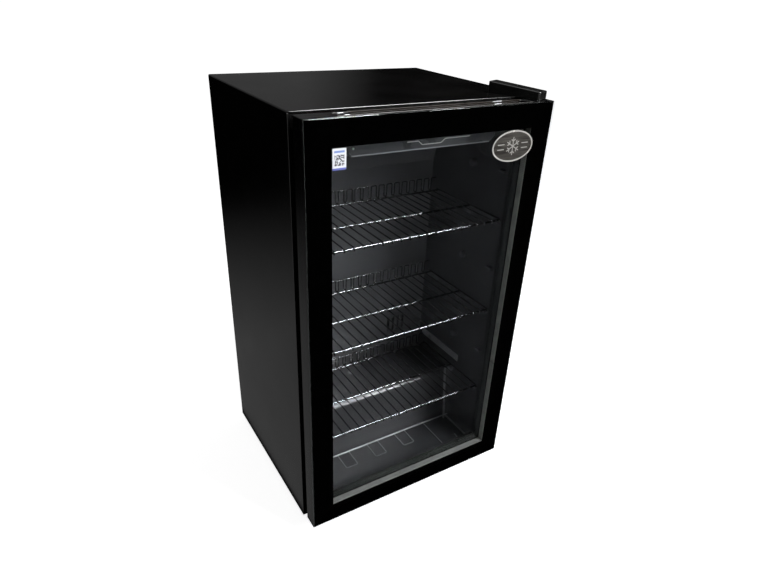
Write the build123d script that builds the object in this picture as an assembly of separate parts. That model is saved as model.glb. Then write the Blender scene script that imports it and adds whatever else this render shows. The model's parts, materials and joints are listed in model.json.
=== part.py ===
from build123d import *
import os

# Glass-door drinks cooler, built in millimetres. +Z is up, the door faces -Y and the origin is
# at the middle of the footprint, on the floor. Heights named *_UP are above the cabinet's
# underside, depths named *_IN are behind the cabinet's front face.

# ---- driving dimensions -------------------------------------------------------------------
WIDTH = 480.0          # cabinet and door
CABINET_H = 822.0      # underside to top sheet
CABINET_D = 382.0      # front face to back sheet
OVERALL_D = 450.0      # door glass to rear bumpers
FOOT_H = 15.0          # floor to cabinet underside
SHEET = 0.8            # painted steel
DOOR_GAP = 18.0        # between cabinet face and door, filled by the gasket
DOOR_T = 37.0          # glass face to door back
DOOR_LOW_UP = 13.0     # door's bottom edge
DOOR_TOP_UP = 821.0    # door's top edge
BORDER = 45.0          # printed border round the sight opening, sides and bottom
BORDER_TOP = 43.0      # printed border above the sight opening
LINER_HALF = 206.0     # half the inside width
LINER = 1.0            # liner thickness
FLOOR_UP = 28.0        # inside floor
CEILING_UP = 787.0     # inside ceiling
STEP_FOOT_IN = 97.0    # foot of the step over the compressor
STEP_EDGE_IN = 112.0   # top edge of that step
STEP_UP = 163.0        # top of that step
LINER_BACK_IN = 336.0  # back of the cavity, behind the evaporator
DUCT_IN = 243.0        # front of the rear duct panel
HOOD_UP = 648.0        # where the duct panel turns into the outlet hood
SHELF_UP = (178.0, 382.0, 586.0)   # centres of the shelves' cross wires
SUPPORT_PITCH = 102.0  # between shelf levels
LEVELS = 6             # shelf levels moulded in each wall
SHELF_HALF = 203.0     # outermost shelf wires
SHELF_WIRES = 22
SHELF_FRONT_IN = 6.0   # front cross wire
SHELF_MID_IN = 103.0   # middle cross wire
SHELF_BACK_IN = 217.0  # back cross wire
HINGE_X = 221.0        # door pivot
HINGE_IN = -28.0
PIN_R = 3.0
PIN_CLEARANCE = 0.05
BADGE_T = 0.8          # badge and label stand this proud of the glass

# ---- derived positions --------------------------------------------------------------------
DOOR_FACE = -OVERALL_D / 2 + BADGE_T
FACE = DOOR_FACE + DOOR_T + DOOR_GAP
BACK = FACE + CABINET_D
BASE = FOOT_H
TOP = BASE + CABINET_H
HALF = WIDTH / 2
DOOR_BACK = DOOR_FACE + DOOR_T
DOOR_LOW = BASE + DOOR_LOW_UP
DOOR_TOP = BASE + DOOR_TOP_UP
SIGHT_HALF = HALF - BORDER
SIGHT_LOW = DOOR_LOW + BORDER - 1
SIGHT_TOP = DOOR_TOP - BORDER_TOP
FLOOR = BASE + FLOOR_UP
CEILING = BASE + CEILING_UP
STEP_TOP = BASE + STEP_UP
HINGE_Y = FACE + HINGE_IN

parts = {}


# ---- helpers ------------------------------------------------------------------------------
def block(x0, x1, y0, y1, z0, z1):
    """Box between two corners."""
    middle = Pos((x0 + x1) / 2, (y0 + y1) / 2, (z0 + z1) / 2)
    return middle * Box(x1 - x0, y1 - y0, z1 - z0)


def rod(start, end, radius):
    """Round bar between two points."""
    along = Vector(*end) - Vector(*start)
    grow = (Align.CENTER, Align.CENTER, Align.MIN)
    return Plane(origin=start, z_dir=along) * Cylinder(radius, along.length, align=grow)


def tube(points, bend, radius):
    """Round bar bent through points, with one bend radius."""
    path = FilletPolyline(*points, radius=bend)
    return sweep(Plane(origin=path @ 0, z_dir=path % 0) * Circle(radius), path)


def side_profile(points, half):
    """Extrude a closed outline given as (y, z) points across the cabinet, to +-half in x."""
    outline = make_face(Polyline(*[(0, y, z) for y, z in points], close=True))
    return extrude(outline, amount=half, dir=(1, 0, 0), both=True)


def plan(points, z0, z1):
    """Extrude a closed outline given as (x, y) points from z0 to z1."""
    outline = make_face(Polyline(*[(x, y, z0) for x, y in points], close=True))
    return extrude(outline, amount=z1 - z0, dir=(0, 0, 1))


def rounded(shape, radius, axis=Axis.Z):
    """Fillet the edges that run along an axis."""
    return fillet(shape.edges().filter_by(axis), radius)


def mirrored(shape):
    """A solid and its mirror image in the cabinet's middle plane."""
    return [shape, shape.mirror(Plane.YZ)]


# ---- cabinet shell ------------------------------------------------------------------------
WRAP_R = 2.5
RETURN_W = 12.0


def outer_wrap():
    """Painted sheet folded down both sides, with an inward return round its front edge."""
    outer = rounded(block(-HALF, HALF, FACE, BACK, BASE - 20, TOP), WRAP_R, Axis.Y)
    inner = rounded(block(-HALF + SHEET, HALF - SHEET, FACE, BACK, BASE - 20, TOP - SHEET),
                    WRAP_R - SHEET, Axis.Y)
    opening = block(-HALF + RETURN_W, HALF - RETURN_W, FACE, BACK, BASE - 20, TOP - RETURN_W)
    front = (outer - opening) & block(-HALF, HALF, FACE, FACE + SHEET, BASE, TOP)
    return ((outer - inner) & block(-HALF, HALF, FACE, BACK, BASE, TOP)) + front


def foam_insulation():
    """Foamed-in-place polyurethane, as the slabs that fill each wall."""
    inside = LINER_HALF + LINER
    outside = HALF - SHEET
    front, back = FACE + 2, BACK - SHEET
    back_front = FACE + LINER_BACK_IN + LINER
    low, high = BASE + 2, TOP - SHEET
    shelf_low, shelf_high = STEP_TOP - LINER - 32, STEP_TOP - LINER
    lean_low, lean_high = FACE + STEP_FOOT_IN + LINER, FACE + STEP_EDGE_IN + LINER
    wall_back = lean_high + 26
    side = rounded(block(inside, outside, front, back, low, high), WRAP_R, Axis.Y)
    slabs = mirrored(side)
    slabs += [block(-inside, inside, front, back, CEILING + LINER, high)]
    slabs += [block(-inside, inside, back_front, back, shelf_low, CEILING + LINER)]
    slabs += [block(-inside, inside, front, lean_low, low, FLOOR - LINER)]
    step_wall = [(lean_low, low), (lean_low, FLOOR - LINER), (lean_high, shelf_high),
                 (wall_back, shelf_high), (wall_back, low)]
    slabs += [side_profile(step_wall, inside) - with_round_step(cavity(LINER), LINER)]
    slabs += [block(-inside, inside, wall_back, back_front, shelf_low, shelf_high)]
    return Compound(children=slabs)


LINER_CORNER = 18.0
STEP_EDGE_R = 18.0
STEP_FOOT_R = 5.0


def cavity(grow):
    """The space inside the liner, or its outside when grown by the liner's thickness."""
    back = FACE + LINER_BACK_IN + grow
    points = [(FACE, FLOOR - grow), (FACE + STEP_FOOT_IN + grow, FLOOR - grow),
              (FACE + STEP_EDGE_IN + grow, STEP_TOP - grow), (back, STEP_TOP - grow),
              (back, CEILING + grow), (FACE, CEILING + grow)]
    return side_profile(points, LINER_HALF + grow)


def with_round_step(space, grow):
    """A cavity with the step's top edge rounded."""
    step_edge = [e for e in space.edges() if abs(e.center().Z - STEP_TOP + grow) < 0.1
                 and abs(e.center().Y - FACE - STEP_EDGE_IN - grow) < 0.1]
    return fillet(step_edge, STEP_EDGE_R - grow)


PAD_CENTRES = (-96.0, -19.0, 58.0)
PAD_W = 31.0
PAD_FRONT_IN = 49.0
RIB_W = 2.2
RIB_H = 1.2


def floor_ribs():
    """Low ribs moulded in the liner's floor: three open pads, a divider and a front line."""
    top, foot = FLOOR + RIB_H, FACE + STEP_FOOT_IN - 1.0
    ribs = []
    for middle in PAD_CENTRES:
        pad = block(middle - PAD_W / 2, middle + PAD_W / 2, FACE + PAD_FRONT_IN, foot, FLOOR, top)
        front_corners = pad.edges().filter_by(Axis.Z).group_by(Axis.Y)[0]
        pad = fillet(front_corners, 5)
        ribs += [pad - block(middle - PAD_W / 2 + RIB_W, middle + PAD_W / 2 - RIB_W,
                             FACE + PAD_FRONT_IN + RIB_W, foot, FLOOR, top)]
    divider_x = PAD_CENTRES[-1] + 70
    ribs += [block(divider_x, divider_x + RIB_W, FACE + 8, foot, FLOOR, top)]
    line_half = LINER_HALF - 30
    line = rounded(block(-line_half, line_half, FACE + 5, FACE + 70, FLOOR, top), 14)
    line -= rounded(block(-line_half + RIB_W, line_half - RIB_W, FACE + 5 + RIB_W, FACE + 70,
                          FLOOR, top), 12)
    ribs += [line & block(-line_half, line_half, FACE, FACE + 26, FLOOR, top)]
    return ribs


def inner_liner():
    """Vacuum-formed liner with rounded corners, a step over the compressor and a front flange."""
    room = cavity(0)
    hollow_corners = [e for e in room.edges().filter_by(GeomType.LINE)
                      if abs(abs(e.center().X) - LINER_HALF) < 0.1
                      and FLOOR - 1 < e.center().Z < STEP_TOP - 1
                      and FACE + 1 < e.center().Y < FACE + STEP_EDGE_IN + 5]
    room = fillet(hollow_corners, LINER_CORNER)
    foot = [e for e in room.edges().filter_by(Axis.X) if abs(e.center().Z - FLOOR) < 0.1
            and abs(e.center().Y - FACE - STEP_FOOT_IN) < 0.1]
    room = with_round_step(fillet(foot, STEP_FOOT_R), 0)
    liner = with_round_step(cavity(LINER), LINER) - room
    flange_half = HALF - RETURN_W - 0.2
    flange = block(-flange_half, flange_half, FACE, FACE + LINER, BASE + RETURN_W + 0.2,
                   TOP - RETURN_W - 0.2)
    liner += flange - room
    for rib in floor_ribs():
        liner += rib
    return liner


SLOT_X = 127.0
SLOT_PITCH = 14.0
SLOT_W = 6.0
SLOT_LOW_UP, SLOT_HIGH_UP = 224.0, 266.0
DUCT_T = 1.5


def duct_panel():
    """Flat panel in front of the evaporator, with the fan's four upright slots."""
    half = LINER_HALF - 0.5
    panel = block(-half, half, FACE + DUCT_IN, FACE + DUCT_IN + DUCT_T, STEP_TOP, BASE + HOOD_UP)
    for k in range(4):
        x = SLOT_X + (k - 1.5) * SLOT_PITCH
        slot = block(x - SLOT_W / 2, x + SLOT_W / 2, FACE + DUCT_IN - 1, FACE + DUCT_IN + 3,
                     BASE + SLOT_LOW_UP, BASE + SLOT_HIGH_UP)
        panel -= rounded(slot, SLOT_W / 2 - 0.1, Axis.Y)
    return panel


HOOD_LIP_IN = 209.0
HOOD_TOP_UP = CEILING_UP - 9.0


def duct_hood():
    """Upper part of the rear duct, leaning forward to throw cold air along the ceiling."""
    foot, lip = FACE + DUCT_IN, FACE + HOOD_LIP_IN
    low, high = BASE + HOOD_UP + 0.2, BASE + HOOD_TOP_UP
    return side_profile([(foot, low), (foot + DUCT_T, low), (lip + DUCT_T, high), (lip, high)],
                        LINER_HALF - 0.5)


def back_sheet():
    """Back wall, from the machine compartment up."""
    sheet = block(-HALF + SHEET, HALF - SHEET, BACK - SHEET, BACK, STEP_TOP - 33, TOP - SHEET)
    return fillet(sheet.edges().filter_by(Axis.Y).group_by(Axis.Z)[-1], WRAP_R)


def base_pan():
    """Steel tray under the cabinet, with a front upstand."""
    half = HALF - SHEET
    pan = block(-half, half, FACE + SHEET, BACK, BASE, BASE + 1.2)
    return pan + block(-half + 11.4, half - 11.4, FACE, FACE + 1.2, BASE, BASE + 12)


# ---- cold air -----------------------------------------------------------------------------
def evaporator():
    """Finned coil behind the duct panel."""
    fin_y0, fin_y1 = FACE + DUCT_IN + 26, FACE + DUCT_IN + 74
    coil = None
    for k in range(4):
        z = BASE + 330 + k * 28
        run = rod((-172, fin_y0 + 24, z), (172, fin_y0 + 24, z), 4)
        coil = run if coil is None else coil + run
    for k in range(25):
        x = -156 + k * 13
        coil += block(x, x + 0.8, fin_y0, fin_y1, BASE + 316, BASE + 428)
    return coil


FAN_X, FAN_UP = SLOT_X, (SLOT_LOW_UP + SLOT_HIGH_UP) / 2
FAN_FRONT_IN = DUCT_IN + DUCT_T
FAN_DEPTH = 20.0


def fan_frame():
    """Square axial fan frame with its motor cup on four arms."""
    y0, z = FACE + FAN_FRONT_IN, BASE + FAN_UP
    frame = rounded(block(FAN_X - 30, FAN_X + 30, y0, y0 + FAN_DEPTH, z - 30, z + 30), 3, Axis.Y)
    frame -= rod((FAN_X, y0 - 1, z), (FAN_X, y0 + FAN_DEPTH + 1, z), 28)
    frame += rod((FAN_X, y0 + FAN_DEPTH - 3, z), (FAN_X, y0 + FAN_DEPTH, z), 11)
    for dx, dz in ((1, 0), (0, 1)):
        arm = block(-29 * dx - 2 * dz, 29 * dx + 2 * dz, y0 + FAN_DEPTH - 3, y0 + FAN_DEPTH,
                    -29 * dz - 2 * dx, 29 * dz + 2 * dx)
        frame += Pos(FAN_X, 0, z) * arm
    return frame


def fan_blades():
    """Hub and seven pitched blades."""
    y0, z = FACE + FAN_FRONT_IN + 2, BASE + FAN_UP
    rotor = rod((FAN_X, y0, z), (FAN_X, y0 + 13.5, z), 10)
    for k in range(7):
        blade = Pos(18, 0, 0) * Rot(35, 0, 0) * Box(18, 1.2, 13)
        rotor += Pos(FAN_X, y0 + 6.5, z) * Rot(0, k * 360 / 7, 0) * blade
    return rotor


# ---- light box ----------------------------------------------------------------------------
LAMP_X0, LAMP_X1 = -143.0, 160.0
LAMP_LOW = BASE + 748.0
LAMP_IN0, LAMP_IN1 = 2.0, 24.0
LENS_H = 3.0


def front_prism(points, y0, y1):
    """Extrude a closed outline given as (x, z) points from y0 to y1."""
    outline = make_face(Polyline(*[(x, y0, z) for x, z in points], close=True))
    return extrude(outline, amount=y1 - y0, dir=(0, 1, 0))


def light_box():
    """Lamp housing under the ceiling, open below for its lens, ends chamfered."""
    y0, y1 = FACE + LAMP_IN0, FACE + LAMP_IN1
    cut = 9
    outline = [(LAMP_X0 + cut, LAMP_LOW), (LAMP_X1 - cut, LAMP_LOW), (LAMP_X1, LAMP_LOW + cut),
               (LAMP_X1, CEILING), (LAMP_X0, CEILING), (LAMP_X0, LAMP_LOW + cut)]
    shell = front_prism(outline, y0, y1)
    return shell - block(LAMP_X0 + 10, LAMP_X1 - 10, y0 + 2, y1 - 2, LAMP_LOW - 1, CEILING - 2)


def light_lens():
    """Frosted strip that closes the lamp housing and stands a little below it."""
    return rounded(block(LAMP_X0 + 10, LAMP_X1 - 10, FACE + LAMP_IN0 + 2, FACE + LAMP_IN1 - 2,
                         LAMP_LOW - LENS_H, LAMP_LOW + 2), 1.2, Axis.X)


def led_strip():
    """Circuit strip with its row of lamps, above the lens."""
    middle = FACE + (LAMP_IN0 + LAMP_IN1) / 2
    strip = block(LAMP_X0 + 14, LAMP_X1 - 14, middle - 4, middle + 4, CEILING - 4, CEILING - 2)
    for k in range(14):
        x = LAMP_X0 + 24 + k * 20
        strip += block(x - 2.5, x + 2.5, middle - 2.5, middle + 2.5, CEILING - 5.5, CEILING - 4)
    return strip


def power_lamp():
    """Small domed indicator on the lamp housing's face."""
    x, z, y = LAMP_X0 + 12, LAMP_LOW + 11, FACE + LAMP_IN0
    return fillet(rod((x, y, z), (x, y - 1.6, z), 1.8).edges().group_by(Axis.Y)[0], 1.0)


# ---- shelf supports -----------------------------------------------------------------------
PEG_R = 8.0
PEG_OUT = 9.0
WIRE_THICK_R = 2.0
SEAT_GAP = 0.3         # between a shelf and its supports


def shelf_supports(liner):
    """A round peg and a front ledge at each level of each wall."""
    supports = []
    for level in range(LEVELS):
        seat = BASE + SHELF_UP[0] + level * SUPPORT_PITCH - WIRE_THICK_R - SEAT_GAP
        peg_y = FACE + SHELF_MID_IN
        peg = rod((LINER_HALF, peg_y, seat - PEG_R), (LINER_HALF - PEG_OUT, peg_y, seat - PEG_R),
                  PEG_R)
        peg = fillet(peg.edges().group_by(Axis.X)[0], 2)
        ledge = block(LINER_HALF - PEG_OUT, LINER_HALF, FACE + SHELF_FRONT_IN - 1.2,
                      FACE + SHELF_FRONT_IN + 14, seat - 5, seat)
        ledge = fillet(ledge.edges().group_by(Axis.X)[0], 1.5)
        supports += mirrored(peg - liner) + mirrored(ledge - liner)
    return Compound(children=[s for shape in supports for s in shape.solids()])


# ---- shelves ------------------------------------------------------------------------------
WIRE_R = 1.3
WELD = 0.3
FENCE_H = 28.0
FENCE_R = 1.1


def shelf_deck(up):
    """Welded wire shelf: long wires over three cross wires, tipped down at the front."""
    z = BASE + up
    top = z + WIRE_THICK_R + WIRE_R - WELD
    front, back = FACE + SHELF_FRONT_IN, FACE + SHELF_BACK_IN
    nose = front - WIRE_THICK_R - WIRE_R + WELD
    pitch = 2 * SHELF_HALF / (SHELF_WIRES - 1)
    deck = None
    for y in (front, FACE + SHELF_MID_IN, back):
        bar = rod((-SHELF_HALF - 2, y, z), (SHELF_HALF + 2, y, z), WIRE_THICK_R)
        deck = bar if deck is None else deck + bar
    wires = []
    for k in range(SHELF_WIRES):
        x = -SHELF_HALF + k * pitch
        wires += [tube([(x, back + 1.6, top), (x, nose, top), (x, nose, z - 3)], 2.6, WIRE_R)]
    return deck.fuse(*wires)


def shelf_fence(up):
    """Back rail: one wire bent into a row of upright loops on the back cross wire."""
    low = BASE + up + WIRE_THICK_R + FENCE_R + 0.05
    high = low + FENCE_H - 2 * FENCE_R
    y = FACE + SHELF_BACK_IN + 3.0
    pitch = 2 * SHELF_HALF / (SHELF_WIRES - 1)
    loop = pitch * 0.65
    points = []
    for k in range(SHELF_WIRES - 1):
        x = -SHELF_HALF + (k + 0.5) * pitch
        points += [(x - loop / 2, y, low), (x - loop / 2, y, high), (x + loop / 2, y, high),
                   (x + loop / 2, y, low)]
    return tube(points[1:-1], 2.4, FENCE_R)


# ---- door ---------------------------------------------------------------------------------
GLASS_T = 4.0
REAR_GLASS_T = 3.2
SPACER_DEPTH = 14.0
UNIT_LAP = 14.0        # glass unit's edge hidden behind the border
UNIT_BACK = DOOR_FACE + GLASS_T + SPACER_DEPTH + REAR_GLASS_T
PRINT_T = 0.3


def ring(half_out, low_out, high_out, half_in, low_in, high_in, y0, y1):
    outer = block(-half_out, half_out, y0, y1, low_out, high_out)
    return outer - block(-half_in, half_in, y0 - 1, y1 + 1, low_in, high_in)


def front_glass():
    pane = block(-HALF, HALF, DOOR_FACE, DOOR_FACE + GLASS_T, DOOR_LOW, DOOR_TOP)
    pane = rounded(pane, 2, Axis.Y)
    return chamfer(pane.edges().group_by(Axis.Y)[0], 0.8)


def border_print():
    """Black ceramic border fired on the back of the front glass."""
    y0 = DOOR_FACE + GLASS_T
    return ring(HALF - 1, DOOR_LOW + 1, DOOR_TOP - 1, SIGHT_HALF, SIGHT_LOW, SIGHT_TOP,
                y0, y0 + PRINT_T)


def spacer_bar():
    """Hollow-section spacer that keeps the panes apart, taken as solid."""
    y0, y1 = DOOR_FACE + GLASS_T + PRINT_T, DOOR_FACE + GLASS_T + SPACER_DEPTH
    lap = UNIT_LAP
    bar = ring(SIGHT_HALF + lap, SIGHT_LOW - lap, SIGHT_TOP + lap, SIGHT_HALF, SIGHT_LOW,
               SIGHT_TOP, y0, y1)
    return bar


def rear_glass():
    y0 = DOOR_FACE + GLASS_T + SPACER_DEPTH
    lap = UNIT_LAP
    return block(-SIGHT_HALF - lap, SIGHT_HALF + lap, y0, y0 + REAR_GLASS_T, SIGHT_LOW - lap,
                 SIGHT_TOP + lap)


def frame_front():
    return DOOR_FACE + GLASS_T + PRINT_T


def stile():
    """Right-hand upright of the door frame, with a rebate for the glass unit."""
    bar = block(SIGHT_HALF, HALF, frame_front(), DOOR_BACK, DOOR_LOW, DOOR_TOP)
    bar = fillet(bar.edges().filter_by(Axis.Z).group_by(Axis.Y)[-1].sort_by(Axis.X)[-1:], 2.5)
    lap = UNIT_LAP + 0.2
    return bar - block(SIGHT_HALF - 1, SIGHT_HALF + lap, frame_front() - 1, UNIT_BACK,
                       SIGHT_LOW - lap, SIGHT_TOP + lap)


BUSH_R = 6.0
BUSH_DEPTH = 14.0


def bush_hole(z0, z1):
    return rod((HINGE_X, HINGE_Y, z0), (HINGE_X, HINGE_Y, z1), BUSH_R + 0.02)


def right_stile():
    post = stile()
    post -= bush_hole(DOOR_TOP - BUSH_DEPTH, DOOR_TOP + 1)
    return post - bush_hole(DOOR_LOW - 1, DOOR_LOW + BUSH_DEPTH)


def rail_profile(edge, sight, outward):
    """Section of a rail as (y, z) points: edge is its outer side, sight its inner one."""
    rebate = sight + outward * (UNIT_LAP + 0.2)
    return [(frame_front(), rebate), (frame_front(), edge), (DOOR_BACK, edge),
            (DOOR_BACK, sight), (UNIT_BACK, sight), (UNIT_BACK, rebate)]


GRIP_X0, GRIP_X1 = -160.0, 190.0
GRIP_Y0, GRIP_Y1 = frame_front() + 4.5, DOOR_BACK - 5.5
GRIP_DEPTH = 19.0


def top_rail():
    """Top of the door frame, with the long finger channel that opens the door."""
    rail = side_profile(rail_profile(DOOR_TOP, SIGHT_TOP, 1), SIGHT_HALF - 0.1)
    channel = block(GRIP_X0, GRIP_X1, GRIP_Y0, GRIP_Y1, DOOR_TOP - GRIP_DEPTH, DOOR_TOP + 10)
    channel = rounded(channel, 8)
    channel = fillet(channel.faces().sort_by(Axis.Z)[0].edges(), 5)
    rail -= channel
    lips = [e for e in rail.faces().sort_by(Axis.Z)[-1].edges()
            if GRIP_X0 - 1 < e.center().X < GRIP_X1 + 1 and GRIP_Y0 - 1 < e.center().Y < GRIP_Y1 + 1
            and abs(e.center().Y) < abs(DOOR_FACE)]
    return fillet(lips, 1.6)


def bottom_rail():
    return side_profile(rail_profile(DOOR_LOW, SIGHT_LOW, -1), SIGHT_HALF - 0.1)


GASKET_OUT = 219.0     # its hinge side stays inside the pivot, so that it lifts straight off
GASKET_W = 14.0
MAGNET_W, MAGNET_T = 8.0, 3.0


def mitred_strip(half_out, low, high, width, y0, y1, which):
    """One of four strips of a frame whose corners meet at 45 degrees."""
    x0, x1 = -half_out, half_out
    inner = {"low": [(x0 + width, low + width), (x1 - width, low + width)],
             "high": [(x0 + width, high - width), (x1 - width, high - width)]}
    corners = {"low": [(x0, low), (x1, low)] + inner["low"][::-1],
               "high": [(x0, high), (x1, high)] + inner["high"][::-1],
               "left": [(x0, low), (x0, high), inner["high"][0], inner["low"][0]],
               "right": [(x1, low), (x1, high), inner["high"][1], inner["low"][1]]}
    return front_prism(corners[which], y0, y1)


def gasket_strips(inset, width, y0, y1):
    low, high = DOOR_LOW + 17 + inset, DOOR_TOP - 17 - inset
    return [mitred_strip(GASKET_OUT - inset, low, high, width, y0, y1, side)
            for side in ("low", "high", "left", "right")]


def door_gasket():
    """Hollow magnetic gasket, four strips welded at the corners."""
    y0, y1 = DOOR_BACK, FACE - 0.3
    strips = gasket_strips(0, GASKET_W, y0, y1)
    bellows = gasket_strips(2, GASKET_W - 4, y0 + 4, y0 + 10)
    magnets = gasket_strips(3, MAGNET_W, y1 - 1.2 - MAGNET_T, y1 - 1.2)
    return Compound(children=[s - b - m for s, b, m in zip(strips, bellows, magnets)])


def door_magnets():
    y1 = FACE - 0.3 - 1.2
    return Compound(children=gasket_strips(3, MAGNET_W, y1 - MAGNET_T, y1))


def hinge_bushes():
    """Nylon cups that the hinge pins turn in."""
    cups = []
    for mouth, way in ((DOOR_TOP, -1), (DOOR_LOW, 1)):
        cup = rod((HINGE_X, HINGE_Y, mouth), (HINGE_X, HINGE_Y, mouth + way * BUSH_DEPTH), BUSH_R)
        bore = rod((HINGE_X, HINGE_Y, mouth - way), (HINGE_X, HINGE_Y, mouth + way * 13),
                   PIN_R + PIN_CLEARANCE)
        cups += [cup - bore]
    return Compound(children=cups)


BADGE_X, BADGE_Z = 152.5, BASE + 751.0
BADGE_A, BADGE_B = 46.0, 27.0
BADGE_RIM = 2.6


def badge_plate(shrink, thickness):
    """Oval plate standing on the glass."""
    place = Pos(BADGE_X, DOOR_FACE, BADGE_Z) * Rot(90, 0, 0)
    return extrude(place * Ellipse(BADGE_A - shrink, BADGE_B - shrink), amount=thickness)


def badge_rim():
    return badge_plate(0, BADGE_T) - badge_plate(BADGE_RIM, BADGE_T + 1)


def badge_face():
    return badge_plate(BADGE_RIM + 0.02, BADGE_T - 0.3)


def door_label():
    """Blank paper label in the sight opening's top corner."""
    label = block(-SIGHT_HALF - 0.7, -SIGHT_HALF + 21.8, DOOR_FACE - 0.2, DOOR_FACE,
                  SIGHT_TOP - 32, SIGHT_TOP)
    return rounded(label, 1, Axis.Y)


# ---- hinges -------------------------------------------------------------------------------
COVER_BACK = (188.0, FACE + 58.0)
COVER_FRONT = (225.5, FACE - 38.0)
COVER_W = 30.0
COVER_BACK_H, COVER_FRONT_H = 20.0, 13.0
COVER_WALL = 2.0
PLATE_T = 3.0


def slanted_outline(width, inset):
    """Plan of the hinge cover: a strip from its back end to the pivot."""
    start, end = Vector(*COVER_BACK), Vector(*COVER_FRONT)
    along = (end - start).normalized()
    across = Vector(-along.Y, along.X) * (width / 2)
    start, end = start + along * inset, end - along * inset
    corners = [start - across, start + across, end + across, end - across]
    return [(min(c.X, HALF - inset), c.Y) for c in corners]


def cover_block(shrink):
    """Hinge cover's outer form, or its hollow when shrunk."""
    body = plan(slanted_outline(COVER_W - 2 * shrink, shrink), TOP, TOP + COVER_BACK_H - shrink)
    body = rounded(body, 4 - shrink / 2)
    start, end = Vector(*COVER_BACK), Vector(*COVER_FRONT)
    fall = (COVER_BACK_H - COVER_FRONT_H) / (end - start).length
    lean = Plane(origin=(*COVER_BACK, TOP + COVER_BACK_H - shrink),
                 z_dir=(fall * (end - start).X, fall * (end - start).Y, (end - start).length))
    return split(body, lean, keep=Keep.BOTTOM)


def hinge_cover():
    """Tapering plastic cap over the top hinge, open below."""
    cap = cover_block(0)
    top_face = cap.faces().sort_by(Axis.Z)[-1]
    return fillet(top_face.edges(), 1.6) - cover_block(COVER_WALL)


def hinge_pin(z0, z1):
    return rod((HINGE_X, HINGE_Y, z0), (HINGE_X, HINGE_Y, z1), PIN_R)


SCREW_SPOTS = ((193.0, FACE + 44.0), (203.0, FACE + 30.0), (209.0, FACE + 12.0))
SCREW_R = 2.5


def top_hinge():
    """Steel plate screwed to the cabinet top, with a riveted pin down into the door."""
    plate = plan(slanted_outline(20, 6), TOP, TOP + PLATE_T)
    plate = rounded(plate, 3)
    for x, y in SCREW_SPOTS:
        plate -= rod((x, y, TOP - 1), (x, y, TOP + 5), SCREW_R + 0.2)
    head = rod((HINGE_X, HINGE_Y, TOP + PLATE_T), (HINGE_X, HINGE_Y, TOP + PLATE_T + 2), 5)
    return plate + head + hinge_pin(DOOR_TOP - 12, TOP + PLATE_T)


def hinge_screws():
    """Screws of the top and bottom hinges, each with a cross-recessed pan head."""
    screws = []
    for x, y in SCREW_SPOTS:
        head = rod((x, y, TOP + PLATE_T), (x, y, TOP + PLATE_T + 2.4), 4.2)
        head -= block(x - 2.2, x + 2.2, y - 0.5, y + 0.5, TOP + PLATE_T + 1.2, TOP + 9)
        head -= block(x - 0.5, x + 0.5, y - 2.2, y + 2.2, TOP + PLATE_T + 1.2, TOP + 9)
        screws += [head + rod((x, y, TOP), (x, y, TOP + PLATE_T), SCREW_R)]
    for x in (202.0, 222.0):
        z, y = BASE + 19, FACE - LEAF_T
        head = rod((x, y, z), (x, y - 2.2, z), 4)
        head -= block(x - 2.2, x + 2.2, y - 3, y - 1, z - 0.5, z + 0.5)
        screws += [head + rod((x, y, z), (x, FACE, z), SCREW_R)]
    return Compound(children=screws)


LEAF_T = 2.5
WASHER_T = 1.2


def bottom_hinge():
    """Steel angle on the cabinet's front, its foot under the door with a pin up into it."""
    foot_top = DOOR_LOW - WASHER_T - 0.4
    leaf = block(194, 230, FACE - LEAF_T, FACE, foot_top - PLATE_T, BASE + 25)
    for x in (202.0, 222.0):
        leaf -= rod((x, FACE - 5, BASE + 19), (x, FACE + 1, BASE + 19), SCREW_R + 0.2)
    foot = block(208, 239, HINGE_Y - 10, FACE - LEAF_T, foot_top - PLATE_T, foot_top)
    foot = fillet(foot.edges().filter_by(Axis.Z).group_by(Axis.Y)[0], 8)
    return leaf + foot + hinge_pin(foot_top, DOOR_LOW + 12)


def hinge_washer():
    ring_z = DOOR_LOW - WASHER_T - 0.4
    washer = rod((HINGE_X, HINGE_Y, ring_z), (HINGE_X, HINGE_Y, ring_z + WASHER_T), 7)
    return washer - rod((HINGE_X, HINGE_Y, ring_z - 1), (HINGE_X, HINGE_Y, ring_z + 3),
                        PIN_R + PIN_CLEARANCE)


# ---- feet ---------------------------------------------------------------------------------
FOOT_X = 205.0
FRONT_FOOT_Y = FACE + 26.0
REAR_FOOT_Y = BACK - 24.0
STUD_R = 3.9


def front_foot(side):
    """Levelling foot: a ribbed disc on a threaded stud that rises into the base pan."""
    x = side * FOOT_X
    disc = fillet(rod((x, FRONT_FOOT_Y, 0), (x, FRONT_FOOT_Y, 9), 15).edges(), 1.2)
    return disc + rod((x, FRONT_FOOT_Y, 9), (x, FRONT_FOOT_Y, BASE + 10), STUD_R)


def foot_bores(shape):
    """Clear the levelling feet's studs out of a shape, with room to turn."""
    for side in (-1, 1):
        x = side * FOOT_X
        shape -= rod((x, FRONT_FOOT_Y, BASE - 1), (x, FRONT_FOOT_Y, BASE + 14), STUD_R + 0.3)
    return shape


def rear_feet():
    feet = []
    for side in (-1, 1):
        x = side * FOOT_X
        foot = rod((x, REAR_FOOT_Y, 0), (x, REAR_FOOT_Y, BASE), 14)
        feet += [fillet(foot.edges().group_by(Axis.Z)[0], 2)]
    return Compound(children=feet)


# ---- machine compartment ------------------------------------------------------------------
PLATE_UP = 1.2
COMP_X, COMP_Y = 95.0, BACK - 92.0
COMP_LOW = BASE + 16.0
COMP_H = 92.0


def compressor_base():
    """Steel channel across the compartment that carries the compressor."""
    y0, y1 = COMP_Y - 52, COMP_Y + 52
    low = BASE + PLATE_UP
    web = block(-200, 200, y0, y1, low, low + 2)
    return web + block(-200, 200, y0, y0 + 2, low, low + 10) + block(-200, 200, y1 - 2, y1, low,
                                                                      low + 10)


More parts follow.
